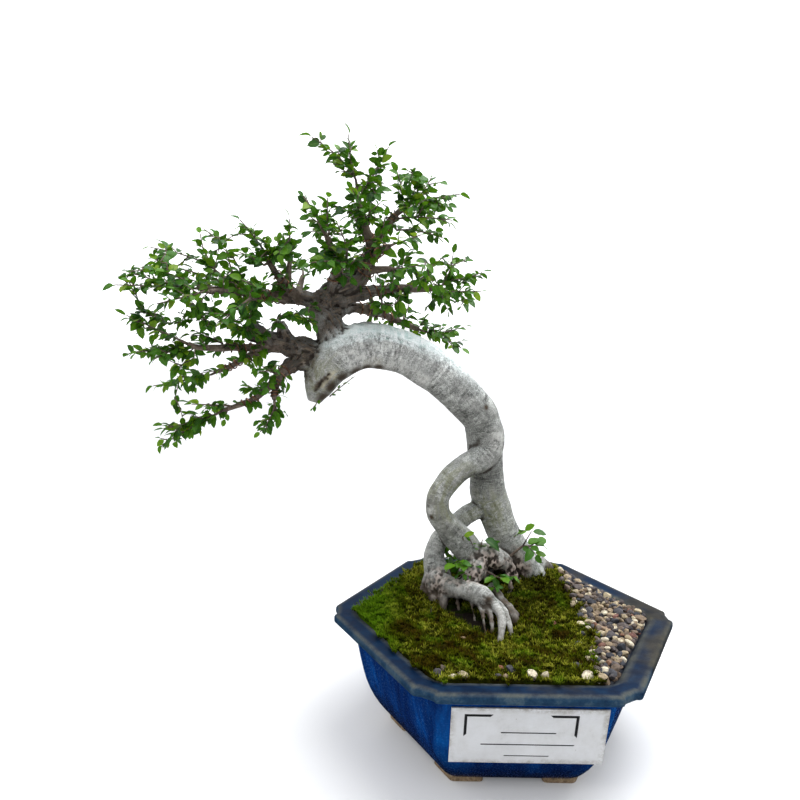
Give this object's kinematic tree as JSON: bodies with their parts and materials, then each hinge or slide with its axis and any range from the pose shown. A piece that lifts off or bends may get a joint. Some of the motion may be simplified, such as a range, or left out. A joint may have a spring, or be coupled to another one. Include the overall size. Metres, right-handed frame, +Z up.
{
  "type": "bonsai tree",
  "caption": "Elm bonsai with an arched, looped trunk and sparse leafy branches, growing from moss and gravel in a low six-sided blue glazed pot with a blank plate on its front.",
  "frame": {"origin": "middle of the pot on the surface it stands on, level with the undersides of its six feet", "axes": "+Z up, -Y out of the pot's front face with the plate, +X to the right of that face; the tree leans to -X"},
  "size_m": [0.4745, 0.2598, 0.5045],
  "materials": {
    "glazed_pot": "glossy cobalt glaze, the rim weathered to a dull blue grey",
    "label": "aged off-white plate with black corner brackets",
    "screen": "dark plastic mesh",
    "soil": "dark damp soil",
    "moss": "yellow-green to brown moss cushion",
    "gravel": "mixed grit in cream, tan, slate grey and brown",
    "bark": "pale grey bark with whitish flecks and dark pores",
    "wire": "copper-brown anodised training wire",
    "leaf": "small toothed leaves, mid to dark green"
  },
  "bodies": {
    "root": {"drain_screen_left": "screen", "drain_screen_right": "screen", "elm_wood": "bark", "gravel": "gravel", "label_plate": "label", "moss": "moss", "pot": "glazed_pot", "shoot_loop_foot": "leaf", "shoot_root_front": "leaf", "shoot_trunk_foot": "leaf", "soil": "soil", "spray_back_crown": "leaf", "spray_back_far_left": "leaf", "spray_back_left": "leaf", "spray_back_right": "leaf", "spray_crown_back": "leaf", "spray_crown_near": "leaf", "spray_crown_right": "leaf", "spray_crown_tip": "leaf", "spray_crown_up": "leaf", "spray_front": "leaf", "spray_front_up": "leaf", "spray_hanging": "leaf", "spray_leader_front": "leaf", "spray_leader_near": "leaf", "spray_leader_right": "leaf", "spray_left_back": "leaf", "spray_left_far": "leaf", "spray_left_front": "leaf", "spray_left_inner": "leaf", "spray_left_low": "leaf", "spray_left_mid": "leaf", "spray_left_mid_front": "leaf", "spray_left_mid_low": "leaf", "spray_left_near": "leaf", "spray_left_rise": "leaf", "spray_left_tip": "leaf", "spray_left_top": "leaf", "spray_left_top_inner": "leaf", "spray_left_up": "leaf", "spray_left_up_front": "leaf", "spray_low_front": "leaf", "spray_low_inner": "leaf", "spray_low_near": "leaf", "spray_low_tip": "leaf", "spray_neck": "leaf", "spray_right_back": "leaf", "spray_right_inner": "leaf", "spray_right_low": "leaf", "spray_right_near": "leaf", "spray_right_tip": "leaf", "spray_top": "leaf", "spray_top_right": "leaf", "spray_upright": "leaf", "spray_upright_front": "leaf", "wire_crown": "wire", "wire_left": "wire", "wire_lower": "wire", "wire_right": "wire"}
  },
  "joints": []
}
